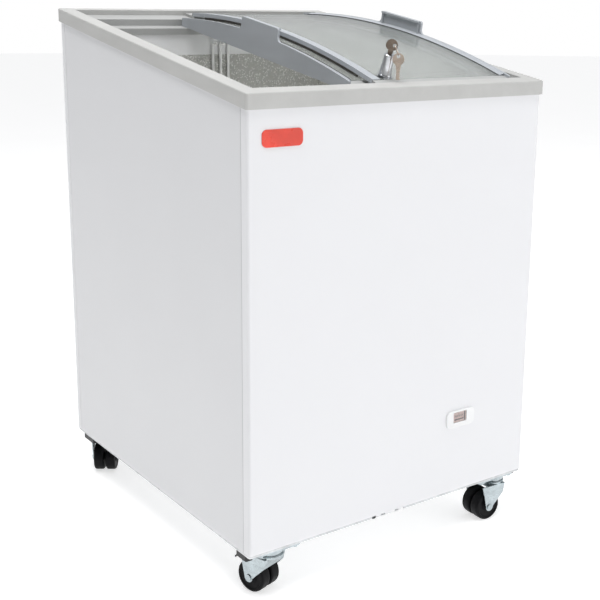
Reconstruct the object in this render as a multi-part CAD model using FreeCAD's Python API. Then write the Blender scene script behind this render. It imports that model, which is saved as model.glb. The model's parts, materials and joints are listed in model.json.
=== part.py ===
import FreeCAD, Part
import os
from math import asin, atan2, cos, degrees, pi, radians, sin, sqrt

V = FreeCAD.Vector
X_AXIS, Y_AXIS, Z_AXIS = V(1, 0, 0), V(0, 1, 0), V(0, 0, 1)

# Row frame: millimetres, X to the right, Y to the back, Z up, origin on the floor
# under the middle of the cabinet. Shapes are drawn from a datum plane DATUM_Z above the
# floor, and export() lifts them by that much.

# ---- driving dimensions: cabinet body ----
WIDTH = 600.0
DEPTH = 658.0
DATUM_Z = 4.0
BASE_Z = 82.0            # underside of the body above the datum
FRONT_H = 694.5          # body height at the front, under the rim
BACK_H = 812.3           # body height at the back, under the rim
SHEET = 1.0
CORNER_R = 5.0
RETURN = 17.0            # how far front and back panels wrap round the corners
SEAM = 1.2
PAN_T = 1.5
PAN_LIP = 4.5            # how far the pan's flange and corner pads hang below the panels
PAD_X, PAD_Y = (209.0, 299.0), (255.0, 328.0)
OVERHANG = 3.6           # rim beyond the body
RIM_H = 23.3             # rim height, square to the slope
RIM_LEDGE_SIDE = 27.6    # rim width, left and right
RIM_FRONT_S = 28.0       # inner edge of the rim at the front, along the slope
RIM_BACK_S = 656.0

HALF_W, HALF_D = WIDTH / 2, DEPTH / 2
SLOPE = atan2(BACK_H - FRONT_H, DEPTH)
RIM_HALF_X = HALF_W + OVERHANG
RIM_HALF_Y = HALF_D + OVERHANG
RIM_IN_X = RIM_HALF_X - RIM_LEDGE_SIDE
TOP_ORIGIN = V(0, -RIM_HALF_Y, BASE_Z + FRONT_H - OVERHANG * sin(SLOPE) / cos(SLOPE) + RIM_H / cos(SLOPE))

# ---- lid tracks, in slope coordinates (x, s along the slope, n square to it) ----
UPPER_LEDGE_N, LOWER_LEDGE_N, TRACK_BOTTOM_N = -9.0, -21.0, -33.0
UPPER_LEDGE_S = (58.0, 610.0)
LOWER_LEDGE_S = (86.0, 582.0)
SLIDE_GAP = 0.5

# ---- storage well ----
LINER_X, LINER_Y = 246.0, 250.0
LINER_FLOOR_Z = 143.0
STEP_Y, STEP_Z = 70.0, 380.0
BREAKER_BOTTOM_N = -72.0
BREAKER_T = 3.0
WALL_FOAM = 50.0
COIL_GAP = 9.0
COIL_Z = [430.0, 490.0, 550.0, 610.0, 670.0]

# ---- machine bay ----
KNOB_X, KNOB_Z = -80.0, 290.0

# ---- lids ----
ARC_R = 1745.0
ARC_S = 330.0            # where the arch is highest
UPPER_PEAK, LOWER_PEAK = 25.0, 13.0
GLASS_T = 4.0
CAP_T = 4.0
LIP_UP, LIP_IN = 4.0, 14.0
HANDLE_S = (271.0, 389.0)
HANDLE_UP = 21.0
STRIP_W = 16.0
UPPER_X = (-43.0, 250.0)
LOWER_X = (-75.0, 218.0)
UPPER_S = (30.5, 652.0)
LOWER_S = (60.0, 606.0)

# ---- casters ----
WHEEL_R = 27.0
AXLE_Z = WHEEL_R - DATUM_Z
CASTER_X, CASTER_Y = 247.0, 303.0
TRAIL = 21.0
PLATE_T = 2.5
PLATE_TOP = BASE_Z - PAN_LIP
HEAD_Z = PLATE_TOP - PLATE_T  # underside of the plate
PLATE_X = (-36.0, 48.0)  # plate ends from the swivel axis, outer and inner
BOLT_X, BOLT_Y = (-28.0, 38.0), 18.5  # plate bolts from the swivel axis
PIN_Y, PIN_Z = 33.0, 56.0    # brake lever's pin
CAM_REACH = 7.7          # stops 0.4 mm short of the tread at its nearest
BRAKED = "front_left"
CASTERS = {              # corner: (x, y, turn of the trail direction from +Y in degrees)
    "front_left": (-CASTER_X, -CASTER_Y, 17.0),
    "front_right": (CASTER_X, -CASTER_Y, 87.0),
    "rear_left": (-CASTER_X, CASTER_Y, 145.0),
    "rear_right": (CASTER_X, CASTER_Y, -150.0),
}


# ---------------------------------------------------------------- helpers
def export(name, shape):
    shape.translate(V(0, 0, DATUM_Z))
    shape.exportStep(f"parts/{name}.step")


def group(solids):
    return Part.makeCompound(solids)


def box(x0, x1, y0, y1, z0, z1):
    return Part.makeBox(x1 - x0, y1 - y0, z1 - z0, V(x0, y0, z0))


def cyl(radius, start, along, length):
    return Part.makeCylinder(radius, length, start, along)


def prism(points, along):
    """A closed outline of points, pushed along a vector."""
    return Part.Face(Part.makePolygon(points + points[:1])).extrude(along)


def rounded_box(x0, x1, y0, y1, z0, z1, radius, axis=Z_AXIS):
    """A box with its four edges along one axis rounded."""
    shape = box(x0, x1, y0, y1, z0, z1)
    edges = [e for e in shape.Edges if abs(e.tangentAt(e.FirstParameter).dot(axis)) > 0.99]
    return shape.makeFillet(radius, edges)


def revolved(profile, centre=V(0, 0, 0)):
    """A solid turned about Z from (radius, height) points."""
    face = Part.Face(Part.makePolygon([V(r, 0, z) for r, z in profile + profile[:1]]))
    shape = face.revolve(V(0, 0, 0), Z_AXIS, 360)
    shape.translate(centre)
    return shape


def tube(points, bend, radius):
    """A round bar along straight runs joined by tangent arcs."""
    edges, start = [], points[0]
    for before, corner, after in zip(points, points[1:], points[2:]):
        into, out = (corner - before).normalize(), (after - corner).normalize()
        turn = into.getAngle(out)
        cut = bend * sin(turn / 2) / cos(turn / 2)
        enter, leave = corner - into * cut, corner + out * cut
        inward = (out - into).normalize()
        middle = corner + inward * (bend / cos(turn / 2) - bend)
        edges += [Part.LineSegment(start, enter).toShape(), Part.Arc(enter, middle, leave).toShape()]
        start = leave
    edges.append(Part.LineSegment(start, points[-1]).toShape())
    section = Part.Wire(Part.Circle(points[0], points[1] - points[0], radius).toShape())
    return Part.Wire(edges).makePipeShell([section], True, False)


def on_slope(shape):
    """Moves a shape from slope coordinates (x, s, n) to the row frame."""
    shape.Placement = FreeCAD.Placement(TOP_ORIGIN, FreeCAD.Rotation(X_AXIS, degrees(SLOPE)))
    return shape


def below_slope(n):
    """All the space under the plane n of the slope."""
    return on_slope(box(-400, 400, -200, 900, -1100, n))


def arc_n(s, peak):
    """Height of an arch of the lids at s."""
    return peak - ARC_R + sqrt(ARC_R ** 2 - (s - ARC_S) ** 2)


def arch_bar(profile, peak, s_range):
    """A bar that follows a lid's arch, from (x, height over the arch) points."""
    centre_n = peak - ARC_R
    start, end = (asin((s - ARC_S) / ARC_R) for s in s_range)
    face = Part.Face(Part.makePolygon([V(x, ARC_S, peak + h) for x, h in profile + profile[:1]]))
    axis_point = V(0, ARC_S, centre_n)
    face.rotate(axis_point, X_AXIS, -degrees(start))
    return face.revolve(axis_point, X_AXIS, -degrees(end - start))


# ---------------------------------------------------------------- cabinet body
def outer_panels():
    """Front, sides and back cut from one rounded sheet-metal ring."""
    top = BASE_Z + BACK_H + 60
    ring = rounded_box(-HALF_W, HALF_W, -HALF_D, HALF_D, BASE_Z, top, CORNER_R)
    ring = ring.cut(rounded_box(-HALF_W + SHEET, HALF_W - SHEET, -HALF_D + SHEET, HALF_D - SHEET,
                                BASE_Z, top, CORNER_R - SHEET))
    ring = ring.common(below_slope(-RIM_H))
    seam_y = HALF_D - RETURN
    side = (-seam_y + SEAM / 2, seam_y - SEAM / 2, 0, top)
    front = ring.common(box(-400, 400, -400, -seam_y - SEAM / 2, 0, top))
    back = ring.common(box(-400, 400, seam_y + SEAM / 2, 400, 0, top))
    back = back.cut(rounded_box(-235, 235, 300, 340, 108, 312, 6, Y_AXIS))
    back = back.cut(cyl(9.0, V(265, 300, 130), Y_AXIS, 40))
    export("front_panel", front)
    export("left_side_panel", ring.common(box(-400, 0, *side)))
    export("right_side_panel", ring.common(box(0, 400, *side)))
    export("back_panel", back)


def base_pan():
    in_x, in_y = HALF_W - SHEET, HALF_D - SHEET
    low = BASE_Z - PAN_LIP
    pan = rounded_box(-in_x, in_x, -in_y, in_y, low, BASE_Z + PAN_T, CORNER_R - SHEET)
    hollow = rounded_box(-in_x + 2, in_x - 2, -in_y + 2, in_y - 2, low - 1, BASE_Z, CORNER_R - SHEET - 2)
    for sx in (-1, 1):
        for sy in (-1, 1):
            pad_x, pad_y = sorted(sx * x for x in PAD_X), sorted(sy * y for y in PAD_Y)
            hollow = hollow.cut(box(*pad_x, *pad_y, 0, BASE_Z))
    pan = pan.cut(hollow).cut(box(-54, 15, -in_y - 1, -in_y + 26, low - 1, BASE_Z))
    for i in range(8):
        x = -105 + i * 30
        pan = pan.cut(rounded_box(x - 4, x + 4, 170, 290, BASE_Z - 1, BASE_Z + PAN_T + 1, 3.9))
    pan = pan.cut(cyl(8.05, V(-20, -200, BASE_Z - 1), Z_AXIS, PAN_T + 2))
    export("base_pan", pan)


def insulation_foam():
    in_x, in_y = HALF_W - SHEET, HALF_D - SHEET
    foam = rounded_box(-in_x, in_x, -in_y, in_y, BASE_Z + PAN_T, 1000, CORNER_R - SHEET)
    foam = foam.common(below_slope(TRACK_BOTTOM_N))
    out_x, out_y, step_y, step_z = LINER_X + SHEET, LINER_Y + SHEET, STEP_Y + SHEET, STEP_Z - SHEET
    foam = foam.cut(box(-out_x, out_x, -out_y, step_y, LINER_FLOOR_Z - SHEET, 1000))
    foam = foam.cut(box(-out_x, out_x, -out_y, out_y, step_z, 1000))
    wide_x, wide_y = out_x + COIL_GAP, out_y + COIL_GAP
    foam = foam.cut(box(-wide_x, wide_x, -wide_y, wide_y, STEP_Z + 20, 1000))
    foam = foam.cut(box(-in_x, in_x, step_y + WALL_FOAM, in_y, 0, step_z - WALL_FOAM))
    foam = foam.cut(cyl(8.05, V(-20, -200, 0), Z_AXIS, 300))
    export("insulation_foam", foam)


def inner_liner():
    """Well lining as folded sheets: floor, four walls and the step over the machine bay."""
    x, y, top = LINER_X, LINER_Y, below_slope(BREAKER_BOTTOM_N)
    out_x, out_y = x + SHEET, y + SHEET
    floor = box(-out_x, out_x, -out_y, STEP_Y + SHEET, LINER_FLOOR_Z - SHEET, LINER_FLOOR_Z)
    floor = floor.cut(cyl(6.0, V(-20, -200, 0), Z_AXIS, 300))
    front = box(-out_x, out_x, -out_y, -y, LINER_FLOOR_Z, 1000).common(top)
    back = box(-out_x, out_x, y, out_y, STEP_Z - SHEET, 1000).common(top)
    step_front = box(-x, x, STEP_Y, STEP_Y + SHEET, LINER_FLOOR_Z, STEP_Z - SHEET)
    step_top = box(-x, x, STEP_Y, y, STEP_Z - SHEET, STEP_Z)
    side = box(x, out_x, -y, STEP_Y + SHEET, LINER_FLOOR_Z, 1000)
    side = side.fuse(box(x, out_x, STEP_Y, y, STEP_Z - SHEET, 1000)).removeSplitter().common(top)
    left = side.mirror(V(0, 0, 0), X_AXIS)
    export("inner_liner", group([floor, front, back, step_front, step_top, side, left]))


def breaker_strip():
    """White plastic band between the lining and the tracks, with a flange under each side rim."""
    x, y, t = LINER_X, LINER_Y, BREAKER_T
    ring = box(-x - t, x + t, -y - t, y + t, 0, 1000).cut(box(-x, x, -y, y, 0, 1000))
    ring = ring.common(below_slope(TRACK_BOTTOM_N)).cut(below_slope(BREAKER_BOTTOM_N))
    inner = box(x, RIM_IN_X, LOWER_LEDGE_S[0], LOWER_LEDGE_S[1], TRACK_BOTTOM_N, -RIM_H)
    outer = box(RIM_IN_X, HALF_W - SHEET - 4, RIM_FRONT_S, RIM_BACK_S, TRACK_BOTTOM_N, -RIM_H)
    flange = on_slope(inner.fuse(outer).removeSplitter())
    strip = ring.fuse([flange, flange.mirror(V(0, 0, 0), X_AXIS)]).removeSplitter()
    export("breaker_strip", strip)


def top_frame():
    """Grey rim round the top: front, back and side bars, flush where they meet."""
    outer = rounded_box(-RIM_HALF_X, RIM_HALF_X, -RIM_HALF_Y, RIM_HALF_Y, 600, 1100, 5.0)
    slab = outer.common(below_slope(0)).cut(below_slope(-RIM_H))
    top_edges = [e for e in slab.Edges
                 if all(abs(height_over_slope(v.Point)) < 0.01 for v in e.Vertexes)]
    slab = slab.makeFillet(2.5, top_edges)
    ends = on_slope(box(-400, 400, RIM_FRONT_S, RIM_BACK_S, -40, 40))
    sides = box(RIM_IN_X, 400, -400, 400, 0, 1200)
    bars = list(slab.cut(ends).Solids)
    middle = slab.common(ends)
    bars += [middle.common(sides), middle.common(sides.mirror(V(0, 0, 0), X_AXIS))]
    export("top_frame", group(bars))


def height_over_slope(point):
    offset = point - TOP_ORIGIN
    return offset.dot(V(0, -sin(SLOPE), cos(SLOPE)))


def lid_tracks():
    """Two stepped ledges at the front and two at the back, for the two lids."""
    x = RIM_IN_X
    bars = [box(-x, x, RIM_FRONT_S, UPPER_LEDGE_S[0], TRACK_BOTTOM_N, UPPER_LEDGE_N),
            box(-x, x, UPPER_LEDGE_S[0], LOWER_LEDGE_S[0], TRACK_BOTTOM_N, LOWER_LEDGE_N),
            box(-x, x, LOWER_LEDGE_S[1], UPPER_LEDGE_S[1], TRACK_BOTTOM_N, LOWER_LEDGE_N),
            box(-x, x, UPPER_LEDGE_S[1], RIM_BACK_S, TRACK_BOTTOM_N, UPPER_LEDGE_N)]
    export("lid_tracks", on_slope(group(bars)))


def badge_and_thermometer():
    front = -HALF_D
    export("badge_plate", rounded_box(-275, -203, front - 1.4, front, 720, 746, 8, Y_AXIS))
    bezel = rounded_box(106, 171, front - 3.2, front, 202, 233, 9, Y_AXIS)
    outer_edges = [e for e in bezel.Edges if all(abs(v.Y - front + 3.2) < 0.01 for v in e.Vertexes)]
    bezel = bezel.makeFillet(1.5, outer_edges)
    bezel = bezel.cut(rounded_box(121, 152, front - 4, front - 1.0, 211, 230, 2, Y_AXIS))
    export("thermometer_bezel", bezel)
    export("thermometer_dial", rounded_box(121.2, 151.8, front - 1.6, front - 1.0, 211.2, 229.8, 2, Y_AXIS))
    export("thermometer_lens", rounded_box(121.2, 151.8, front - 2.8, front - 2.0, 211.2, 229.8, 2, Y_AXIS))


def base_glides():
    """Four moulded blocks under the pan's side edges, clear of the casters."""
    blocks = []
    for sx in (-1, 1):
        for sy in (-1, 1):
            x0, x1 = sorted((sx * (HALF_W - 16), sx * (HALF_W - 2)))
            near, far = (14, 44) if sy < 0 else (25, 70)
            y0, y1 = sorted((sy * (HALF_D - near), sy * (HALF_D - far)))
            blocks.append(rounded_box(x0, x1, y0, y1, PLATE_TOP - 10.5, PLATE_TOP, 3))
    export("base_glides", group(blocks))


def drain():
    """Outlet under the front edge: bracket, turned-down spigot, plug and the tube from the well."""
    y0, y1 = -HALF_D + 2, -HALF_D + 26
    bracket = rounded_box(-44, 14, y0, y1, BASE_Z - 5.5, BASE_Z, 3)
    for x in (-30, 0):
        slot = rounded_box(x - 5, x + 5, y0 - 1, y0 + 2.5, BASE_Z - 4.5, BASE_Z - 1.5, 1.2, Y_AXIS)
        bracket = bracket.cut(slot)
    export("drain_bracket", bracket)
    export("drain_plug", rounded_box(-53, -44, y0 + 1, y1 - 6, BASE_Z - 6.5, BASE_Z - 1, 2))
    pipe = cyl(8.0, V(-20, -200, BASE_Z - 8), Z_AXIS, LINER_FLOOR_Z - SHEET - BASE_Z + 8)
    pipe = pipe.cut(cyl(6.0, V(-20, -200, BASE_Z - 9), Z_AXIS, 100))
    export("drain_tube", pipe)


# ---------------------------------------------------------------- cold side and machine bay
def evaporator_coil():
    x, y = LINER_X + SHEET + 4.5, LINER_Y + SHEET + 4.5
    points = [V(x - 60, y, COIL_Z[0])]
    for z, z_next in zip(COIL_Z, COIL_Z[1:]):
        points += [V(-x, y, z), V(-x, -y, z), V(x, -y, z), V(x, y, z_next)]
    points.append(V(-x + 60, y, COIL_Z[-1]))
    export("evaporator_coil", tube(points, 5.0, 4.0))


def compressor():
    centre = V(-150, 222, 0)
    pot = revolved([(0, 100), (58, 100), (72, 112), (74, 118), (74, 176), (79, 178), (79, 183), (74, 185),
                    (74, 240), (66, 262), (40, 274), (0, 277)], centre)
    for sx in (-1, 1):
        arm = box(centre.x + sx * 40 - 12, centre.x + sx * 40 + 12, centre.y - 90, centre.y + 90, 100, 103)
        pot = pot.fuse(arm)
    pot = pot.fuse(box(centre.x + 66, centre.x + 104, centre.y - 28, centre.y + 28, 150, 220))
    mounts = []
    for sx in (-1, 1):
        for sy in (-1, 1):
            at = V(centre.x + sx * 40, centre.y + sy * 82, 0)
            pot = pot.cut(cyl(4.0, at + V(0, 0, 90), Z_AXIS, 30))
            mounts.append(revolved([(0, 83.5), (9, 83.5), (9, 88), (7, 90), (9, 92), (9, 100), (4, 100),
                                    (4, 103), (7, 103), (7, 106), (0, 106)], at))
    export("compressor", pot.removeSplitter())
    export("compressor_mounts", group(mounts))


def condenser_and_fan():
    cx, cz, fan_r = 130.0, 205.0, 92.0
    core = box(20, 240, 292, 322, 100, 310)
    for i in range(26):
        x = 28 + i * 8
        core = core.cut(box(x, x + 5, 290, 316, 108, 302))
    export("condenser_coil", core)
    shroud = box(20, 240, 258, 292, 100, 310).cut(box(24, 236, 261, 293, 104, 306))
    shroud = shroud.cut(cyl(fan_r + 4, V(cx, 250, cz), Y_AXIS, 20))
    export("fan_shroud", shroud)
    motor = cyl(34, V(cx, 190, cz), Y_AXIS, 45).fuse(cyl(4.0, V(cx, 235, cz), Y_AXIS, 42))
    for angle in (45, 165, 285):
        arm = box(cx - 5, cx + 5, 200, 204, cz + 30, cz + 100)
        foot = box(cx - 5, cx + 5, 200, 258, cz + 97, cz + 100)
        for piece in (arm, foot):
            piece.rotate(V(cx, 0, cz), Y_AXIS, angle)
            motor = motor.fuse(piece)
    export("fan_motor", motor.removeSplitter())
    hub = cyl(22, V(cx, 262, cz), Y_AXIS, 22).cut(cyl(4.05, V(cx, 250, cz), Y_AXIS, 30.0))
    for i in range(5):
        blade = box(-22, 22, -1.2, 1.2, 18, fan_r - 4)
        blade = blade.makeFillet(12, [e for e in blade.Edges if all(v.Z > 80 for v in e.Vertexes)
                                      and abs(e.Vertexes[0].Y - e.Vertexes[1].Y) > 1])
        blade.rotate(V(0, 0, 0), Z_AXIS, 24)
        blade.translate(V(cx, 273, cz))
        blade.rotate(V(cx, 0, cz), Y_AXIS, 72 * i)
        hub = hub.fuse(blade)
    hub = hub.cut(cyl(4.05, V(cx, 250, cz), Y_AXIS, 40))
    export("fan_blade", hub.removeSplitter())


def refrigerant_line():
    """Pipe from the compressor to the condenser, with the filter drier in its level run."""
    y, z = 132.0, 316.0
    line = tube([V(-150, 148, 200), V(-150, y, 200), V(-150, y, z), V(4, y, z), V(4, y, 240),
                 V(4, 306, 240), V(20, 306, 240)], 7.0, 3.0)
    drier = revolved([(0, 0), (4, 0), (4, 8), (9.5, 18), (9.5, 72), (4, 82), (4, 90), (0, 90)])
    drier.rotate(V(0, 0, 0), Y_AXIS, 90)
    drier.translate(V(-118, y, z))
    export("refrigerant_line", line.fuse(drier).removeSplitter())


def rear_grille():
    y = HALF_D
    grille = rounded_box(-248, 248, y, y + 2.0, 96, 324, 6, Y_AXIS)
    for col in (-160, 0, 160):
        for row in range(13):
            z = 122 + row * 14.5
            slot = rounded_box(col - 64, col + 64, y - 1, y + 3, z, z + 5, 2.4, Y_AXIS)
            grille = grille.cut(slot)
    grille = grille.cut(cyl(6.0, V(KNOB_X, y - 1, KNOB_Z), Y_AXIS, 4))
    export("rear_grille", grille)


def thermostat():
    at = V(KNOB_X, HALF_D, KNOB_Z)
    housing = box(at.x - 22, at.x + 22, at.y - 46, at.y - 1.0, at.z - 30, at.z + 18)
    housing = housing.cut(cyl(3.05, at - V(0, 20, 0), Y_AXIS, 30))
    export("thermostat_box", housing)
    knob = cyl(9.0, at + V(0, 2.4, 0), Y_AXIS, 1.2)
    knob = knob.fuse(cyl(3.0, at - V(0, 19.5, 0), Y_AXIS, 22))
    export("thermostat_knob", knob.removeSplitter())


def cord_gland():
    at = V(265, HALF_D, 130)
    gland = cyl(13.0, at, Y_AXIS, 3.2).fuse(cyl(8.9, at - V(0, 6, 0), Y_AXIS, 7))
    gland = gland.fuse(cyl(12.0, at - V(0, 6, 0), Y_AXIS, 4.8))
    gland = gland.cut(cyl(4.2, at - V(0, 10, 0), Y_AXIS, 20))
    export("cord_gland", gland.removeSplitter())


def divider_guides():
    """White wire guides: three bars with hooked ends down the walls and along the floor."""
    r, z_low, z_back, z_front = 3.0, LINER_FLOOR_Z + 8, BASE_Z + 780.0, BASE_Z + 692.0
    y_back, y_front, step_in = LINER_Y - 4.0, -LINER_Y + 4.0, STEP_Y - 4.0
    bars = []
    for x in (-17.5, 0.0, 17.5):
        route = [V(x, y_back - 14, z_back - 12), V(x, y_back, z_back), V(x, y_back, STEP_Z + 5),
                 V(x, step_in, STEP_Z + 5), V(x, step_in, z_low), V(x, y_front, z_low),
                 V(x, y_front, z_front), V(x, y_front + 14, z_front - 12)]
        bars.append(tube(route, 7.0, r))
    for y, z in ((y_back, 700.0), (y_back, STEP_Z + 60), (y_front, 640.0), (y_front, 260.0), (0.0, z_low),
                 (-160.0, z_low)):
        bars.append(cyl(2.0, V(-17.5, y, z), X_AXIS, 35.0))
    guides = bars[0].fuse(bars[1:])
    export("divider_guides", guides.removeSplitter())


# ---------------------------------------------------------------- lids
def arch_plate(x0, x1, s_range, bottom_n, peak, raise_by, handle):
    """An upright end plate: straight bottom, arched top and a raised finger pull."""
    s0, s1 = s_range
    top = [arc_n(s, peak) + raise_by for s in (s0, ARC_S, s1)]
    low0, low1 = V(x0, s0, bottom_n), V(x0, s1, bottom_n)
    high0, mid, high1 = V(x0, s0, top[0]), V(x0, ARC_S, top[1]), V(x0, s1, top[2])
    outline = [Part.makeLine(low0, high0), Part.Arc(high0, mid, high1).toShape(),
               Part.makeLine(high1, low1), Part.makeLine(low1, low0)]
    plate = Part.Face(Part.Wire(outline)).extrude(V(x1 - x0, 0, 0))
    h0, h1 = handle
    foot = peak - 5
    tall = peak + raise_by + HANDLE_UP
    pull = box(x0, x1, h0, h1, foot, tall)
    plate = plate.fuse(pull).removeSplitter()
    return round_pull(plate, h0, h1, tall)


def round_pull(plate, h0, h1, tall):
    """Rounds the pull's top corners and the corners where it leaves the arch."""
    def across(edge):
        return abs(edge.tangentAt(edge.FirstParameter).x) > 0.99
    corners = [e for e in plate.Edges if across(e) and min(abs(e.Vertexes[0].Y - h) for h in (h0, h1)) < 0.01]
    tops = [e for e in corners if abs(e.Vertexes[0].Z - tall) < 0.01]
    plate = plate.makeFillet(4.0, tops)
    feet = [e for e in plate.Edges if across(e) and min(abs(e.Vertexes[0].Y - h) for h in (h0, h1)) < 0.01
            and e.Vertexes[0].Z < tall - 10]
    return plate.makeFillet(9.0, feet)


def lid_parts(prefix, peak, x_range, s_range, ledge_n, handle_left):
    """Glass, end cap with finger pull, inner strip and runners of one lid."""
    bottom = ledge_n + SLIDE_GAP
    side = -1 if handle_left else 1
    x_cap, x_strip = (x_range[0], x_range[1]) if handle_left else (x_range[1], x_range[0])
    lip_in = x_cap - side * LIP_IN
    plate_in = x_cap - side * CAP_T
    arc_span = (s_range[0] + 12, s_range[1] - 14 if prefix == "lower" else 622.0)

    cap = arch_plate(min(x_cap, plate_in), max(x_cap, plate_in), s_range, bottom, peak, LIP_UP, HANDLE_S)
    lip_low = -GLASS_T - 1
    lip = arch_bar([(plate_in, LIP_UP - 0.4), (lip_in, 0.6), (lip_in, lip_low), (plate_in, lip_low)],
                   peak, arc_span)
    tall = peak + LIP_UP + HANDLE_UP
    bead_in = x_cap - side * 9.0
    bead = box(*sorted((plate_in, bead_in)), HANDLE_S[0] + 4, HANDLE_S[1] - 4, tall - 3.5, tall)
    for s in (HANDLE_S[0] + 4, HANDLE_S[1] - 8):
        bead = bead.fuse(box(*sorted((plate_in, x_cap - side * 7.0)), s, s + 4, peak, tall))
    cap = cap.fuse([lip, bead]).removeSplitter()
    export(f"{prefix}_lid_cap", on_slope(cap))

    glass_x = sorted((lip_in, x_strip + side * 4.0))
    glass = arch_bar([(glass_x[0], 0), (glass_x[1], 0), (glass_x[1], -GLASS_T), (glass_x[0], -GLASS_T)],
                     peak, arc_span)
    export(f"{prefix}_lid_glass", on_slope(glass))

    far, near, slot, hook = x_strip, x_strip + side * STRIP_W, x_strip + side * 4.0, x_strip + side * 10.0
    strip = arch_bar([(far, 1.2), (near, 1.2), (near, 0), (slot, 0), (slot, -GLASS_T), (hook, -GLASS_T),
                      (hook, -6), (far, -6)], peak, arc_span)
    export(f"{prefix}_lid_strip", on_slope(strip))
    lid_runners(prefix, peak, bottom, s_range, arc_span, sorted((plate_in, far)))


def lid_runners(prefix, peak, bottom, s_range, arc_span, x_range):
    """Front and back shoes that carry the glass on the ledges."""
    x0, x1 = x_range
    glass0, glass1 = (V(x0, s, arc_n(s, peak)) for s in arc_span)
    under = -6.0
    front = [V(x0, s_range[0], bottom), V(x0, s_range[0], glass0.z - 2.5),
             V(x0, arc_span[0] - 1.0, glass0.z - 0.3), V(x0, arc_span[0] - 1.0, glass0.z + under),
             V(x0, arc_span[0] + 8, glass0.z + under), V(x0, arc_span[0] + 8, bottom)]
    back = [V(x0, s_range[1], bottom), V(x0, s_range[1], bottom + 4.5), V(x0, arc_span[1] + 3, bottom + 4.5),
            V(x0, arc_span[1] + 1.0, glass1.z + 0.2), V(x0, arc_span[1] + 1.0, glass1.z + under),
            V(x0, arc_span[1] - 8, glass1.z + under), V(x0, arc_span[1] - 8, bottom)]
    runners = group([prism(points, V(x1 - x0, 0, 0)) for points in (front, back)])
    export(f"{prefix}_lid_runners", on_slope(runners))


def brush_seal():
    """Brush under the upper lid's strip, just over the lower glass."""
    x0 = UPPER_X[0] + 2
    brush = arch_bar([(x0, -6), (x0 + 3, -6), (x0 + 3, -11.3), (x0, -11.3)], UPPER_PEAK, (84.0, 578.0))
    export("upper_lid_brush", on_slope(brush))


# ---------------------------------------------------------------- lock and keys
LOCK_X, LOCK_S = -10.0, 54.0
LOCK_LEAN = asin((ARC_S - LOCK_S) / ARC_R)
LOCK_H = 38.0
KEY_T = 2.0
KEY_TURN = -35.0         # how the key's flat stands in the slot
BOW_R, BOW_Z = 9.5, 14.0
HOLE_R, HOLE_OFF = 3.1, 4.7
RING_R, RING_WIRE = 8.5, 0.8
RING_FALL = (0.33, -0.82, 0.46)   # how the ring hangs from the hole: sideways, up, away from the bow


def on_lock(shape):
    """Moves a shape from lock coordinates (z along the barrel, 0 on the glass) to the row frame."""
    place = FreeCAD.Placement(V(LOCK_X, LOCK_S, arc_n(LOCK_S, UPPER_PEAK) + 0.1),
                              FreeCAD.Rotation(X_AXIS, degrees(LOCK_LEAN)))
    slope = FreeCAD.Placement(TOP_ORIGIN, FreeCAD.Rotation(X_AXIS, degrees(SLOPE)))
    shape.Placement = slope.multiply(place).multiply(shape.Placement)
    return shape


def key_blank(hole):
    """A flat key: round bow with a hole, shoulder and bitted blade, pointing down -Z from 0."""
    bow = cyl(BOW_R, V(0, -KEY_T / 2, BOW_Z), Y_AXIS, KEY_T)
    neck = box(-4, 4, -KEY_T / 2, KEY_T / 2, 0, 10)
    blade = box(-3, 3, -KEY_T / 2, KEY_T / 2, -18, 0)
    for i in range(3):
        z = -6 - i * 4
        notch = prism([V(3.1, -2, z + 1.5), V(1.2, -2, z), V(3.1, -2, z - 1.5)], V(0, 4, 0))
        blade = blade.cut(notch)
    key = bow.fuse([neck, blade]).removeSplitter()
    return key.cut(cyl(HOLE_R, hole - V(0, 3, 0), Y_AXIS, 6))


def lock_parts():
    housing = revolved([(0, 0), (13.0, 0), (13.0, 2.0), (11.0, 2.0), (11.0, 4.5), (10.2, 5.5),
                        (7.9, LOCK_H - 3), (8.6, LOCK_H - 2), (8.6, LOCK_H - 0.8), (7.8, LOCK_H),
                        (5.55, LOCK_H), (5.55, 10.0), (0, 10.0)])
    export("lock_housing", on_lock(housing))
    cylinder = cyl(5.5, V(0, 0, 10.2), Z_AXIS, LOCK_H - 10.2)
    slot = box(-3.2, 3.2, -KEY_T / 2 - 0.2, KEY_T / 2 + 0.2, LOCK_H - 24, LOCK_H + 1)
    cylinder = cylinder.cut(slot)
    cylinder.rotate(V(0, 0, 0), Z_AXIS, KEY_TURN)
    export("lock_cylinder", on_lock(cylinder))
    key = key_blank(V(HOLE_OFF, 0, BOW_Z))
    key.translate(V(0, 0, LOCK_H + 1.0))
    key.rotate(V(0, 0, 0), Z_AXIS, KEY_TURN)
    export("lock_key", on_lock(key))


def spare_key():
    """Second key on a ring through the side hole of the first key's bow, hanging plumb beside the barrel."""
    turn = FreeCAD.Rotation(Z_AXIS, KEY_TURN)
    hole, beyond = (on_lock(Part.Vertex(turn.multVec(V(HOLE_OFF, y, LOCK_H + 1.0 + BOW_Z)))).BoundBox.Center
                    for y in (0, 1))
    facing = V(hole.x - beyond.x, hole.y - beyond.y, 0).normalize()
    sideways = Z_AXIS.cross(facing)
    fall = (sideways * RING_FALL[0] + Z_AXIS * RING_FALL[1] + facing * RING_FALL[2]).normalize()
    ring = Part.makeTorus(RING_R, RING_WIRE, hole + fall * RING_R, fall.cross(facing))
    key = key_blank(V(0, 0, BOW_Z + HOLE_OFF))
    key.rotate(V(0, 0, 0), Z_AXIS, degrees(atan2(sideways.y, sideways.x)))
    key.translate(hole + fall * 2 * RING_R - Z_AXIS * (BOW_Z + HOLE_OFF + HOLE_R - RING_WIRE))
    export("spare_key", group([ring, key]))


# ---------------------------------------------------------------- casters
def placed(shape, corner):
    """Moves a caster piece from its own frame (swivel on Z, trail along +Y) to its corner."""
    x, y, turn = CASTERS[corner]
    shape.rotate(V(0, 0, 0), Z_AXIS, turn)
    shape.translate(V(x, y, 0))
    return shape


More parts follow.
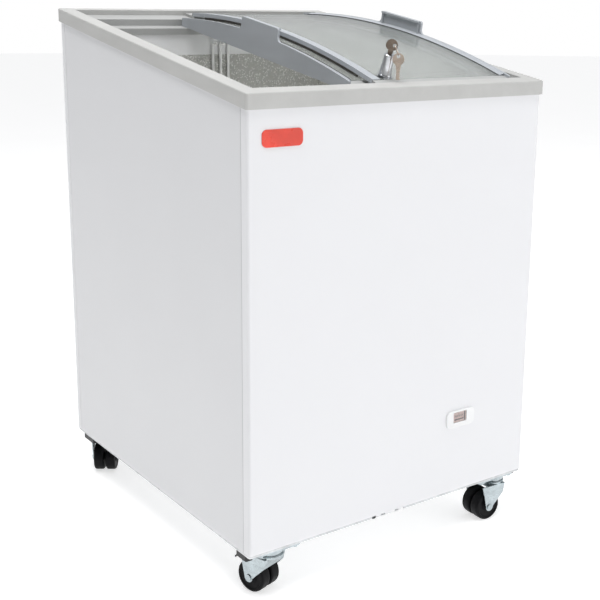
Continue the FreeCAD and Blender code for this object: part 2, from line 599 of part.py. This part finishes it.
def bolt_places(side):
    """Plate bolts of a caster whose plate reaches towards +X (side 1) or -X (side -1)."""
    return [(side * x, y) for x in BOLT_X for y in (-BOLT_Y, BOLT_Y)]


def caster_plate(side):
    """Top plate with the fixed race and the king pin."""
    x0, x1 = sorted(side * x for x in PLATE_X)
    plate = rounded_box(x0, x1, -25, 25, HEAD_Z, PLATE_TOP, 7)
    for x, y in bolt_places(side):
        plate = plate.cut(rounded_box(x - 6, x + 6, y - 3.3, y + 3.3, HEAD_Z - 1, PLATE_TOP + 1, 3.2))
    race = revolved([(r, HEAD_Z - drop) for r, drop in (
        (0, 0), (24, 0), (24.5, 2.5), (23.5, 6), (19, 7.9), (5, 7.9), (5, 16.1), (8, 16.1), (7, 17.9),
        (0, 17.9))])
    return plate.fuse(race).removeSplitter()


def caster_fork():
    """Crown on the king pin, two legs and the skirt that joins them in front of the wheel."""
    crown = revolved([(r, HEAD_Z - drop) for r, drop in (
        (5.05, 8.3), (19, 8.3), (23, 7.1), (25, 8.9), (25, 12.0), (22, 15.5), (5.05, 15.5))])
    outer, inner, top, skirt_z = 26.0, 24.0, HEAD_Z - 11.5, 46.0
    legs = []
    leg_outline = [V(0, -14, top), V(0, 38, top), V(0, TRAIL + 8, AXLE_Z), V(0, TRAIL - 8, AXLE_Z),
                   V(0, -10, skirt_z)]
    for x in (-outer, inner):
        leg = prism(leg_outline, V(2, 0, 0)).fuse(cyl(8.0, V(0, TRAIL, AXLE_Z), X_AXIS, 2))
        leg.translate(V(x, 0, 0))
        legs.append(leg.cut(cyl(3.0, V(x - 1, TRAIL, AXLE_Z), X_AXIS, 4)))
    skirt = prism([V(-outer, -10, skirt_z), V(-outer, -14, top), V(-outer, -12, top), V(-outer, -8, skirt_z)],
                  V(2 * outer, 0, 0))
    bridge = box(-outer, outer, -14, 26, top - 2, top).cut(cyl(6.0, V(0, 0, 40), Z_AXIS, 40))
    return crown.fuse(legs + [skirt, bridge]).removeSplitter()


def caster_axle():
    pin = cyl(3.0, V(-26, TRAIL, AXLE_Z), X_AXIS, 52)
    heads = [cyl(5.5, V(x, TRAIL, AXLE_Z), X_AXIS, 1.6) for x in (-27.6, 26)]
    return pin.fuse(heads).removeSplitter()


def caster_wheel():
    """Twin wheel: two treads on one hub."""
    r = WHEEL_R
    half = [(3.05, 0), (8, 0), (8, 2), (r - 5, 2), (r - 2, 2.4), (r - 0.4, 4), (r, 6.5), (r, 17),
            (r - 0.4, 19.5), (r - 2, 21.2), (r - 5, 21.6), (r - 6, 20.4),
            (12, 19.8), (10, 21.8), (7, 22.6), (3.05, 22.6)]
    half_wheel = revolved(half)
    wheel = half_wheel.fuse(half_wheel.mirror(V(0, 0, 0), Z_AXIS)).removeSplitter()
    wheel.rotate(V(0, 0, 0), Y_AXIS, 90)
    wheel.translate(V(0, TRAIL, AXLE_Z))
    return wheel


def brake_lever():
    """Pedal over the trailing side of the wheel, with a cam that closes on the tread when pressed."""
    at_y, at_z = PIN_Y, PIN_Z
    hub = cyl(3.8, V(-15, at_y, at_z), X_AXIS, 30)
    pedal = prism([V(-15, at_y + 1, at_z + 3.4), V(-15, at_y + 16, at_z - 1), V(-15, at_y + 27, at_z - 12),
                   V(-15, at_y + 26, at_z - 15), V(-15, at_y + 14, at_z - 5), V(-15, at_y + 1, at_z - 3.4)],
                  V(30, 0, 0))
    pedal = pedal.makeFillet(1.2, [e for e in pedal.Edges if all(v.Y > at_y + 13 for v in e.Vertexes)
                                   and abs(e.Vertexes[0].X - e.Vertexes[1].X) > 1])
    low = at_z - CAM_REACH
    cam = prism([V(-15, at_y - 3, at_z), V(-15, at_y - 1, low + 0.6), V(-15, at_y + 0.6, low),
                 V(-15, at_y + 2.2, low + 0.6), V(-15, at_y + 3.4, at_z)], V(30, 0, 0))
    bore = cyl(2.05, V(-20, at_y, at_z), X_AXIS, 40)
    return hub.fuse([pedal, cam]).cut(bore).removeSplitter()


def brake_pin():
    return cyl(2.0, V(-24, PIN_Y, PIN_Z), X_AXIS, 48)


def casters():
    """All four casters; returns their plate bolts."""
    plates, bolts = [], []
    for corner, (x, y, _) in CASTERS.items():
        side = 1 if x < 0 else -1
        plate = caster_plate(side)
        plate.translate(V(x, y, 0))
        plates.append(plate)
        for dx, dy in bolt_places(side):
            hexagon = [V(5.0 * cos(a * pi / 3), 5.0 * sin(a * pi / 3), HEAD_Z - 3.2) for a in range(6)]
            bolt = prism(hexagon, V(0, 0, 3.2)).fuse(cyl(3.0, V(0, 0, HEAD_Z), Z_AXIS, PLATE_T))
            bolt.translate(V(x + dx, y + dy, 0))
            bolts.append(bolt.removeSplitter())
        fork = caster_fork()
        if corner == BRAKED:
            export(f"brake_lever_{corner}", placed(brake_lever(), corner))
            fork = fork.fuse(brake_pin()).removeSplitter()
        export(f"caster_fork_{corner}", placed(fork, corner))
        export(f"caster_axle_{corner}", placed(caster_axle(), corner))
        export(f"caster_wheel_{corner}", placed(caster_wheel(), corner))
    export("caster_plates", group(plates))
    return bolts


def grille_screws():
    """Round-head screws of the rear grille."""
    screws = []
    for x in (-241, -80, 80, 241):
        for z in (104, 317):
            head = revolved([(0, 0), (4.2, 0), (3.8, 0.8), (2.2, 1.5), (0, 1.6)])
            head.rotate(V(0, 0, 0), X_AXIS, -90)
            head.translate(V(x, HALF_D + 2.0, z))
            screws.append(head)
    return screws


def main():
    os.makedirs("parts", exist_ok=True)
    outer_panels()
    base_pan()
    insulation_foam()
    inner_liner()
    breaker_strip()
    top_frame()
    lid_tracks()
    badge_and_thermometer()
    base_glides()
    drain()
    evaporator_coil()
    compressor()
    condenser_and_fan()
    refrigerant_line()
    rear_grille()
    thermostat()
    cord_gland()
    divider_guides()
    lid_parts("upper", UPPER_PEAK, UPPER_X, UPPER_S, UPPER_LEDGE_N, handle_left=False)
    lid_parts("lower", LOWER_PEAK, LOWER_X, LOWER_S, LOWER_LEDGE_N, handle_left=True)
    brush_seal()
    lock_parts()
    spare_key()
    export("fasteners", group(casters() + grille_screws()))


main()
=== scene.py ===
import bpy
import bmesh
import json
from math import atan2, cos, pi, radians, sin, sqrt
from mathutils import Matrix, Vector


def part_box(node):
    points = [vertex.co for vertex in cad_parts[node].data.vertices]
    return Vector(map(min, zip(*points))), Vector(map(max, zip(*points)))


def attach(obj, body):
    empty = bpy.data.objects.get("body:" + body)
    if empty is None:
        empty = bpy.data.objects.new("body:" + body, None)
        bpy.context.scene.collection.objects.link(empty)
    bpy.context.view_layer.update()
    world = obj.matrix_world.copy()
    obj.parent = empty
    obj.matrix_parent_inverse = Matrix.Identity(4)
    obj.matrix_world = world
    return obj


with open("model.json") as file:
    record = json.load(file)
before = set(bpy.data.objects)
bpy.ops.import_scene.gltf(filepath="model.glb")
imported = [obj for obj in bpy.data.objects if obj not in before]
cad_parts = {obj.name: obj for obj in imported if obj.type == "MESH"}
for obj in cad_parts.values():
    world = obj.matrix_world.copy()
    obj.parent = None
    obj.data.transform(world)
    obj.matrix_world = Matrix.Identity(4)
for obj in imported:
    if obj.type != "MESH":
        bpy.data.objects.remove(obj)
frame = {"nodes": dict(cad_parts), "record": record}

NODES = frame["nodes"]
SCENE = bpy.context.scene
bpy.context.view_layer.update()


# ---------------------------------------------------------------- camera, light and floor
def make_camera():
    """Looks at the front left corner from about the rim's height."""
    yaw, pitch, roll = radians(34.995), radians(12.671), radians(-0.297)
    forward = Vector((sin(yaw) * cos(pitch), cos(yaw) * cos(pitch), -sin(pitch)))
    right = Vector((cos(yaw), -sin(yaw), 0))
    down = forward.cross(right)
    right, down = right * cos(roll) + down * sin(roll), down * cos(roll) - right * sin(roll)
    data = bpy.data.cameras.new("camera")
    data.lens, data.sensor_width, data.shift_y = 63.744, 36.0, -0.075
    data.clip_end = 60
    camera = bpy.data.objects.new("camera", data)
    camera.matrix_world = Matrix.Translation((-1.10426, -1.61129, 0.90972)) @ Matrix(
        (right, -down, -forward)).transposed().to_4x4()
    SCENE.collection.objects.link(camera)
    SCENE.camera = camera


def area_light(name, place, target, width, height, power):
    data = bpy.data.lights.new(name, "AREA")
    data.shape, data.size, data.size_y, data.energy = "RECTANGLE", width, height, power
    light = bpy.data.objects.new(name, data)
    light.location = place
    light.rotation_euler = (Vector(target) - Vector(place)).to_track_quat("-Z", "Y").to_euler()
    SCENE.collection.objects.link(light)


def make_lights():
    area_light("light_front_right", (2.8, -3.4, 1.9), (0, 0, 0.45), 2.6, 2.6, 42)
    area_light("light_over_back", (0.6, 3.3, 3.6), (0, 0, 0.85), 4.2, 1.6, 12)
    area_light("light_top", (-0.7, -0.4, 3.9), (0.1, 0, 0.5), 2.4, 2.4, 120)
    # a weak fill inside the well, never seen itself
    fill = bpy.data.lights.new("light_in_well", "POINT")
    fill.energy, fill.shadow_soft_size = 1.15, 0.10
    lamp = bpy.data.objects.new("light_in_well", fill)
    lamp.location = (0.05, -0.02, 0.62)
    lamp.visible_camera = lamp.visible_transmission = lamp.visible_glossy = False
    SCENE.collection.objects.link(lamp)


def make_world():
    """White to the camera; as light, dim from the left and brighter towards the right."""
    world = bpy.data.worlds.new("studio")
    world.use_nodes = True
    nodes, links = world.node_tree.nodes, world.node_tree.links
    around, seen = nodes["Background"], nodes.new("ShaderNodeBackground")
    around.inputs["Color"].default_value = (0.97, 0.98, 1.0, 1)
    seen.inputs["Color"].default_value = (1, 1, 1, 1)
    split, fall = nodes.new("ShaderNodeSeparateXYZ"), nodes.new("ShaderNodeMapRange")
    for key, number in (("From Min", -1.0), ("From Max", 0.6), ("To Min", 0.10), ("To Max", 0.62)):
        fall.inputs[key].default_value = number
    links.new(nodes.new("ShaderNodeTexCoord").outputs["Generated"], split.inputs[0])
    links.new(split.outputs["X"], fall.inputs["Value"])
    links.new(fall.outputs["Result"], around.inputs["Strength"])
    mix, path = nodes.new("ShaderNodeMixShader"), nodes.new("ShaderNodeLightPath")
    links.new(path.outputs["Is Camera Ray"], mix.inputs[0])
    links.new(around.outputs[0], mix.inputs[1])
    links.new(seen.outputs[0], mix.inputs[2])
    links.new(mix.outputs[0], nodes["World Output"].inputs["Surface"])
    SCENE.world = world


# ---------------------------------------------------------------- material nodes
class Maker:
    """A node tree round one Principled shader, with short calls for the nodes used here."""

    def __init__(self, name, color, rough, metal=0.0, **sockets):
        self.material = bpy.data.materials.new(name)
        self.material.use_nodes = True
        self.nodes, self.links = self.material.node_tree.nodes, self.material.node_tree.links
        self.shader = self.nodes["Principled BSDF"]
        self.place = self.node("ShaderNodeTexCoord").outputs["Object"]
        self.set("Base Color", (*color, 1))
        self.set("Roughness", rough)
        self.set("Metallic", metal)
        for key, value in sockets.items():
            self.set(key.replace("_", " "), value)
        self.material.diffuse_color = (*color, 1)
        self.normal = None

    def node(self, kind, **values):
        made = self.nodes.new(kind)
        for key, value in values.items():
            if key in made.inputs:
                made.inputs[key].default_value = value
            else:
                setattr(made, key, value)
        return made

    def set(self, socket, value):
        self.shader.inputs[socket].default_value = value

    def stretched(self, scale):
        mapping = self.node("ShaderNodeMapping", Scale=scale)
        self.links.new(self.place, mapping.inputs["Vector"])
        return mapping.outputs["Vector"]

    def noise(self, scale, detail=4.0, rough=0.55, stretch=None):
        made = self.node("ShaderNodeTexNoise", Scale=scale, Detail=detail, Roughness=rough)
        self.links.new(self.stretched(stretch) if stretch else self.place, made.inputs["Vector"])
        return made.outputs["Fac"]

    def cells(self, scale, feature="F1", smooth=None):
        made = self.node("ShaderNodeTexVoronoi", feature=feature, Scale=scale)
        if smooth is not None:
            made.inputs["Smoothness"].default_value = smooth
        self.links.new(self.place, made.inputs["Vector"])
        return made.outputs["Distance"]

    def remap(self, value, low, high, to_low=0.0, to_high=1.0):
        made = self.node("ShaderNodeMapRange", clamp=True)
        ends = {"From Min": low, "From Max": high, "To Min": to_low, "To Max": to_high}
        for key, number in ends.items():
            made.inputs[key].default_value = number
        self.links.new(value, made.inputs["Value"])
        return made.outputs["Result"]

    def blend(self, factor, first, second):
        made = self.node("ShaderNodeMix", data_type="RGBA")
        for socket, value in ((made.inputs[6], first), (made.inputs[7], second)):
            if isinstance(value, tuple):
                socket.default_value = (*value, 1)
            else:
                self.links.new(value, socket)
        self.links.new(factor, made.inputs[0])
        return made.outputs[2]

    def times(self, first, second, operation="MULTIPLY"):
        made = self.node("ShaderNodeMath", operation=operation)
        for i, value in enumerate((first, second)):
            if isinstance(value, (int, float)):
                made.inputs[i].default_value = value
            else:
                self.links.new(value, made.inputs[i])
        return made.outputs[0]

    def color(self, value):
        self.links.new(value, self.shader.inputs["Base Color"])
        return self

    def rough(self, value):
        self.links.new(value, self.shader.inputs["Roughness"])
        return self

    def bump(self, height, strength, distance):
        made = self.node("ShaderNodeBump", Strength=strength, Distance=distance)
        self.links.new(height, made.inputs["Height"])
        if self.normal:
            self.links.new(self.normal, made.inputs["Normal"])
        self.normal = made.outputs["Normal"]
        self.links.new(self.normal, self.shader.inputs["Normal"])
        return self

    def paler_convex_edges(self, color, paler, amount, reach=0.0012):
        """Mixes a paler colour in where the surface is convex, broken up by noise; on the rim and lid plastic
        this is a painted highlight along the rounded edges.
        """
        bevel = self.node("ShaderNodeBevel", samples=4, Radius=reach)
        flat = self.node("ShaderNodeNewGeometry").outputs["Normal"]
        dot = self.node("ShaderNodeVectorMath", operation="DOT_PRODUCT")
        self.links.new(bevel.outputs[0], dot.inputs[0])
        self.links.new(flat, dot.inputs[1])
        edge = self.remap(dot.outputs["Value"], 0.995, 0.80, 0.0, amount)
        edge = self.times(edge, self.remap(self.noise(60), 0.35, 0.65, 0.4, 1.0))
        return self.blend(edge, color, paler)


def scaled(color, factor, lift=0.0):
    return tuple(min(1, c * factor + lift) for c in color)


def painted(name, color, rough, dust):
    """Powder coat: slow tone changes and a faint orange peel."""
    m = Maker(name, color, rough, Coat_Weight=0.15, Coat_Roughness=0.30)
    soft = m.remap(m.noise(2.2, 3.0), 0.3, 0.7)
    tone = m.blend(soft, color, scaled(color, dust))
    m.color(tone)
    m.rough(m.remap(m.noise(9.0, 5.0, 0.6), 0.3, 0.7, rough - 0.02, rough + 0.05))
    m.bump(m.noise(330.0, 2.0), 0.05, 0.0004).bump(m.noise(5.0, 2.0), 0.03, 0.003)
    return m.material


def grained(name, color, rough, grain=900.0, depth=0.12, paler=None, streak=None):
    """Plastic or rubber: fine grain, optional extrusion streaks and paler convex edges, a painted edge
    highlight on the rim and lid plastic.
    """
    m = Maker(name, color, rough)
    tone = m.blend(m.remap(m.noise(7.0, 5.0), 0.3, 0.7), scaled(color, 0.93), scaled(color, 1.06))
    if streak:
        fine = m.remap(m.noise(40.0, 3.0, 0.6, streak), 0.35, 0.65)
        tone = m.blend(m.times(fine, 0.35), tone, scaled(color, 0.86))
    # paler convex edges: on the rim and lid plastic a painted highlight
    if paler:
        tone = m.paler_convex_edges(tone, paler, 0.5)
    m.color(tone)
    m.rough(m.remap(m.noise(22.0, 4.0), 0.3, 0.7, rough - 0.06, rough + 0.08))
    m.bump(m.noise(grain, 3.0, 0.7), depth, 0.0003)
    return m.material


def plated(name, color, rough, streak=(1, 1, 8)):
    """Bare or plated metal with cloudy tone and streaky roughness."""
    m = Maker(name, color, rough, 1.0)
    cloud = m.remap(m.noise(60.0, 4.0, 0.6), 0.3, 0.7)
    m.color(m.blend(cloud, scaled(color, 0.80), scaled(color, 1.12)))
    m.rough(m.remap(m.noise(35.0, 4.0, 0.6, streak), 0.3, 0.7, rough - 0.10, rough + 0.14))
    m.bump(m.noise(260.0, 3.0, 0.6, streak), 0.10, 0.0003).bump(m.noise(14.0), 0.10, 0.0015)
    return m.material


def embossed_aluminium():
    m = Maker("embossed_aluminium", (0.80, 0.80, 0.78), 0.35, 0.15)
    pebble = m.cells(240.0, "SMOOTH_F1", 0.30)
    small = m.cells(520.0, "SMOOTH_F1", 0.5)
    height = m.times(pebble, m.times(small, 0.35), "ADD")
    # colour pale at the pebbles' centres and dark at their rims: painted highlights and shade on the
    # embossing
    m.color(m.blend(m.remap(pebble, 0.05, 0.45), (0.97, 0.965, 0.945), (0.50, 0.50, 0.475)))
    m.rough(m.remap(m.noise(30.0), 0.3, 0.7, 0.42, 0.55))
    m.bump(height, 1.0, 0.0020)
    return m.material


def lid_glass():
    m = Maker("lid_glass", (0.70, 0.73, 0.705), 0.02, IOR=1.5, Transmission_Weight=0.70,
              Specular_IOR_Level=0.5, Alpha=0.62)
    m.color(m.blend(m.remap(m.noise(3.0, 3.0), 0.3, 0.7), (0.73, 0.76, 0.735), (0.65, 0.68, 0.655)))
    m.rough(m.remap(m.noise(18.0, 5.0, 0.7), 0.45, 0.75, 0.012, 0.07))
    m.bump(m.noise(4.0, 2.0), 0.03, 0.004)
    return m.material


def moulded_clear():
    m = Maker("moulded_clear", (0.95, 0.95, 0.94), 0.05, IOR=1.49, Transmission_Weight=1.0)
    m.rough(m.remap(m.noise(90.0), 0.3, 0.7, 0.03, 0.10))
    m.bump(m.noise(50.0), 0.04, 0.0005)
    return m.material


def cut_foam():
    m = Maker("cut_foam", (0.80, 0.76, 0.62), 0.9)
    pores = m.remap(m.cells(420.0), 0.1, 0.5)
    m.color(m.blend(pores, (0.62, 0.56, 0.42), (0.84, 0.79, 0.64)))
    m.bump(pores, 0.6, 0.001)
    return m.material


def tread_rubber():
    m = Maker("tread_rubber", (0.004, 0.004, 0.005), 0.5, Specular_IOR_Level=0.12)
    dust = m.remap(m.noise(45.0, 5.0, 0.65), 0.52, 0.75, 0.0, 0.25)
    m.color(m.blend(dust, (0.004, 0.004, 0.005), (0.022, 0.021, 0.020)))
    m.rough(m.remap(m.noise(70.0, 4.0), 0.3, 0.7, 0.34, 0.58))
    m.bump(m.noise(900.0, 3.0, 0.7), 0.20, 0.0003)
    return m.material


def pile_brush():
    m = Maker("pile_brush", (0.05, 0.045, 0.04), 0.8, Sheen_Weight=0.3)
    hair = m.remap(m.noise(1500.0, 2.0, 0.6, (0.2, 1, 0.08)), 0.35, 0.65)
    m.color(m.blend(hair, (0.02, 0.018, 0.016), (0.14, 0.12, 0.10)))
    m.bump(hair, 0.8, 0.001)
    return m.material


def printed_dial():
    m = Maker("printed_dial", (0.86, 0.62, 0.60), 0.5)
    m.color(m.blend(m.remap(m.noise(120.0), 0.3, 0.7), (0.88, 0.70, 0.68), (0.84, 0.60, 0.58)))
    m.bump(m.noise(1400.0), 0.06, 0.0002)
    return m.material


def enamel(name, color, rough):
    m = Maker(name, color, rough, Coat_Weight=0.6, Coat_Roughness=0.08)
    m.color(m.blend(m.remap(m.noise(25.0, 4.0), 0.35, 0.65), color, scaled(color, 1.25, 0.004)))
    m.rough(m.remap(m.noise(40.0), 0.3, 0.7, rough - 0.04, rough + 0.08))
    m.bump(m.noise(180.0, 2.0), 0.06, 0.0005)
    return m.material


ALONG_X, ALONG_Y = (0.03, 1, 1), (1, 0.04, 1)
# edge colours of the rim and lid plastic: painted highlights along their rounded edges
RIM_EDGE_HIGHLIGHT, LID_EDGE_HIGHLIGHT = (0.66, 0.66, 0.65), (0.66, 0.68, 0.70)

# one material for each slot of the CAD record
MATERIALS = {
    "white_steel": painted("white_powder_coat", (0.775, 0.778, 0.795), 0.40, 0.985),
    # the side panels take a darker copy of the white powder coat: painted shade for the sides turned away
    # from the key light
    "side_steel": painted("white_powder_coat_painted_shade", (0.71, 0.714, 0.728), 0.40, 0.98),
    "galvanised": plated("galvanised_sheet", (0.60, 0.61, 0.62), 0.42),
    "rim_grey": grained("rim_plastic", (0.50, 0.50, 0.487), 0.46, 900.0, 0.10, RIM_EDGE_HIGHLIGHT, ALONG_Y),
    "track_grey": grained("track_plastic", (0.41, 0.415, 0.41), 0.44, 900.0, 0.10, None, ALONG_X),
    "lid_grey": grained("lid_plastic", (0.43, 0.455, 0.485), 0.36, 1100.0, 0.10, LID_EDGE_HIGHLIGHT, (1, 0.05, 1)),
    "glass": lid_glass(),
    "white_plastic": grained("white_plastic", (0.82, 0.825, 0.83), 0.40, 700.0, 0.06),
    "aluminium": embossed_aluminium(),
    "foam": cut_foam(),
    "zinc": plated("zinc_plate", (0.42, 0.47, 0.49), 0.24),
    "black_rubber": tread_rubber(),
    "black_plastic": grained("black_plastic", (0.012, 0.012, 0.013), 0.48, 1000.0, 0.15,
                             (0.04, 0.04, 0.04)),
    "copper": plated("drawn_copper", (0.72, 0.40, 0.26), 0.24),
    "black_enamel": enamel("black_enamel", (0.022, 0.022, 0.024), 0.22),
    "chrome": plated("polished_chrome", (0.55, 0.56, 0.58), 0.12),
    "key_brass": plated("worn_key", (0.60, 0.50, 0.42), 0.30),
    "badge_red": enamel("badge_red", (0.66, 0.035, 0.012), 0.26),
    "dial": printed_dial(),
    "clear_plastic": moulded_clear(),
    "brush": pile_brush(),
    "white_wire": enamel("white_wire", (0.80, 0.80, 0.79), 0.30),
}

# by node name, for CAD nodes that differ from their slot, and by finish name for added pieces
EXTRA = {
    "upper_lid_strip": MATERIALS["lid_grey"],
    "lower_lid_strip": MATERIALS["lid_grey"],
    "gasket": grained("glass_edge_dark_finish", (0.022, 0.022, 0.024), 0.5, 900.0, 0.1),
    "sealant": grained("seam_sealant", (0.42, 0.42, 0.43), 0.6, 500.0, 0.1),
    "print_grey": grained("print_grey", (0.20, 0.18, 0.19), 0.6, 900.0, 0.05),
    "lock_key": plated("bronzed_key", (0.13, 0.105, 0.085), 0.26),
    "print_dark": grained("print_dark", (0.05, 0.05, 0.055), 0.5, 900.0, 0.05),
}


def dress_nodes():
    """Every CAD node takes the procedural material of its slot, or one of its own."""
    for part in frame["record"]["subparts"]:
        mesh = NODES[part["node"]].data
        mesh.materials.clear()
        mesh.materials.append(EXTRA.get(part["node"]) or MATERIALS[part["material_slot"]])


def make_floor():
    """A pale, slightly glowing ground disc that carries the contact shadows."""
    m = Maker("floor_paper", (0.72, 0.72, 0.72), 0.8, Emission_Color=(1, 1, 1, 1), Emission_Strength=0.62)
    m.color(m.blend(m.remap(m.noise(3.0), 0.3, 0.7), (0.74, 0.74, 0.74), (0.71, 0.71, 0.71)))
    m.bump(m.noise(300.0), 0.05, 0.0003)
    bm = bmesh.new()
    bmesh.ops.create_circle(bm, cap_ends=True, radius=25, segments=64)
    mesh = bpy.data.meshes.new("floor")
    bm.to_mesh(mesh)
    floor = bpy.data.objects.new("floor", mesh)
    mesh.materials.append(m.material)
    SCENE.collection.objects.link(floor)


# ---------------------------------------------------------------- geometry helpers
RIM_RISE, RIM_RUN = 0.1178, 0.658
SLOPE = atan2(RIM_RISE, RIM_RUN)
TRACK_DROP, TRACK_INSET = 0.033, 0.028
RIM_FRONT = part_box("top_frame")[0].y
RIM_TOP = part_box("lid_tracks")[0].z + TRACK_DROP * cos(SLOPE) - TRACK_INSET * sin(SLOPE)
# both lids' glass is an arc of this radius whose crown stands this far up the slope
ARC_R, ARC_S = 1.745, 0.330
UPPER_PEAK, LOWER_PEAK = 0.025, 0.013
ARC_STEPS = 56


def on_slope(x, s, n):
    """Row-frame point of slope coordinates: s up the slope from the rim's front edge, n square to it."""
    return Vector((x, RIM_FRONT + s * cos(SLOPE) - n * sin(SLOPE), RIM_TOP + s * sin(SLOPE) + n * cos(SLOPE)))


def arc_n(s, peak):
    """Height of a lid's arch over the slope, s up the slope."""
    return peak - ARC_R + sqrt(ARC_R ** 2 - (s - ARC_S) ** 2)


def piece(name, bm, slot, body):
    """Turns a bmesh into an object that rides on a body, with a slot's material or an extra one."""
    bmesh.ops.recalc_face_normals(bm, faces=bm.faces)
    mesh = bpy.data.meshes.new(name)
    bm.to_mesh(mesh)
    bm.free()
    mesh.shade_smooth()
    mesh.set_sharp_from_angle(angle=radians(35))
    made = bpy.data.objects.new(name, mesh)
    SCENE.collection.objects.link(made)
    mesh.materials.append(EXTRA[slot] if slot in EXTRA else MATERIALS[slot])
    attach(made, body)
    return made


def sweep(bm, rings, closed=True):
    """Skins a list of equal rings of points and caps the two ends."""
    rows = [[bm.verts.new(p) for p in ring] for ring in rings]
    count = len(rows[0])
    for row, after in zip(rows, rows[1:]):
        for i in range(count if closed else count - 1):
            j = (i + 1) % count
            bm.faces.new((row[i], row[j], after[j], after[i]))
    if closed:
        bm.faces.new(rows[0])
        bm.faces.new(rows[-1])


def arch_ribbon(bm, outline, peak, s0, s1):
    """A bar over a lid's arch from (x, height over the arch) points."""
    spans = [s0 + (s1 - s0) * i / ARC_STEPS for i in range(ARC_STEPS + 1)]
    sweep(bm, [[on_slope(x, s, arc_n(s, peak) + h) for x, h in outline] for s in spans])


def lathe(bm, profile, centre, axis, segments=20):
    """Turns (radius, height) points about an axis through centre."""
    turn = Vector((0, 0, 1)).rotation_difference(Vector(axis)).to_matrix()
    rings = []
    for i in range(segments + 1):
        a = 2 * pi * i / segments
        rings.append([Vector(centre) + turn @ Vector((r * cos(a), r * sin(a), z)) for r, z in profile])
    sweep(bm, rings, closed=False)
    bmesh.ops.remove_doubles(bm, verts=bm.verts, dist=1e-6)


def slab(bm, low, high, bevel):
    """A box with rounded edges."""
    made = bmesh.ops.create_cube(bm, size=1.0)["verts"]
    low, high = Vector(low), Vector(high)
    for v in made:
        v.co = Vector(low[i] + (v.co[i] + 0.5) * (high[i] - low[i]) for i in range(3))
    edges = {e for v in made for e in v.link_edges}
    bmesh.ops.bevel(bm, geom=list(edges), offset=bevel, segments=3, affect="EDGES", profile=0.5)


# ---------------------------------------------------------------- small pieces seen on the cabinet
def seam_beads():
    """Sealant in the seams where the front and back panels meet the sides."""
    lo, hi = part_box("front_panel")
    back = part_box("back_panel")[1]
    seam_in, seam_x = 0.0176, 0.2992
    out, along = 0.0005, 0.00075
    bm = bmesh.new()
    for sx in (-1, 1):
        for y, top in ((lo.y + seam_in, hi.z - 0.004), (back.y - seam_in, back.z - 0.006)):
            rings = []
            for z in (lo.z + 0.001, (lo.z + top) / 2, top):
                rings.append([Vector((sx * (seam_x + out * cos(a)), y + along * sin(a), z))
                              for a in (i * pi / 4 for i in range(8))])
            sweep(bm, rings)
    piece("seam_beads", bm, "sealant", "cabinet")


def lid_glass_edge_lines():
    """Thin dark ribbons where the glass meets the end lip, and along the inner strip."""
    # lid, height of its arch, x of the lip and of the strip, side of the lip, span up the slope
    rows = (("upper_lid", UPPER_PEAK, 0.236, -0.027, 1, (0.0435, 0.621)),
            ("lower_lid", LOWER_PEAK, -0.061, 0.202, -1, (0.0725, 0.591)))
    for lid, peak, lip, strip, side, spans in rows:
        bm = bmesh.new()
        x = lip - side * 0.0003
        arch_ribbon(bm, [(x, 0.0001), (x, 0.0010), (x - side * 0.0005, 0.0012), (x - side * 0.0012, 0.0001)],
                    peak, *spans)
        x = strip + side * 0.0002
        arch_ribbon(bm, [(x, 0.0001), (x, 0.0009), (x + side * 0.0008, 0.0008), (x + side * 0.0014, 0.0001)],
                    peak, *spans)
        piece(f"{lid}_glass_edge_lines", bm, "gasket", lid)


def thermometer_details():
    """A plain scale of lines, with a pointer and a bar under the scale."""
    lo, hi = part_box("thermometer_dial")
    y = lo.y - 0.00005
    mid_z = (lo.z + hi.z) / 2
    ticks, pitch, half, ink, edge = 11, 0.0019, 0.0002, 0.00022, 0.00005
    foot = mid_z + 0.0014
    bm = bmesh.new()
    for i in range(ticks):
        x = lo.x + 0.0035 + i * pitch
        tall = 0.0042 if i % 5 == 0 else 0.0024
        slab(bm, (x - half, y - ink, foot), (x + half, y, foot + tall), edge)
    slab(bm, (lo.x + 0.003, y - ink, mid_z + 0.0008), (lo.x + 0.0235, y, mid_z + 0.0011), edge)
    piece("thermometer_ticks", bm, "print_grey", "cabinet")
    bm = bmesh.new()
    slab(bm, (hi.x - 0.0048, y - 0.0003, lo.z + 0.001), (hi.x - 0.0026, y, hi.z - 0.001), 0.0001)
    slab(bm, (lo.x + 0.0028, y - 0.0003, mid_z - 0.0052), (hi.x - 0.0062, y, mid_z - 0.0034), 0.0001)
    piece("thermometer_pointer", bm, "print_dark", "cabinet")


def drain_screws():
    """Two pan head screws that hold the drain's outlet tab."""
    lo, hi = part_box("drain_bracket")
    screw_x = (-0.030, 0.0)
    bm = bmesh.new()
    for x in screw_x:
        lathe(bm, [(0, 0.0011), (0.0009, 0.0010), (0.0017, 0.0006), (0.0019, 0.0)],
              (x, lo.y + 0.0026, (lo.z + hi.z) / 2 + 0.0002), (0, -1, 0))
    piece("drain_screws", bm, "zinc", "cabinet")


SCENE.view_settings.view_transform = "Standard"
make_camera()
make_lights()
make_world()
make_floor()
dress_nodes()
seam_beads()
lid_glass_edge_lines()
thermometer_details()
drain_screws()
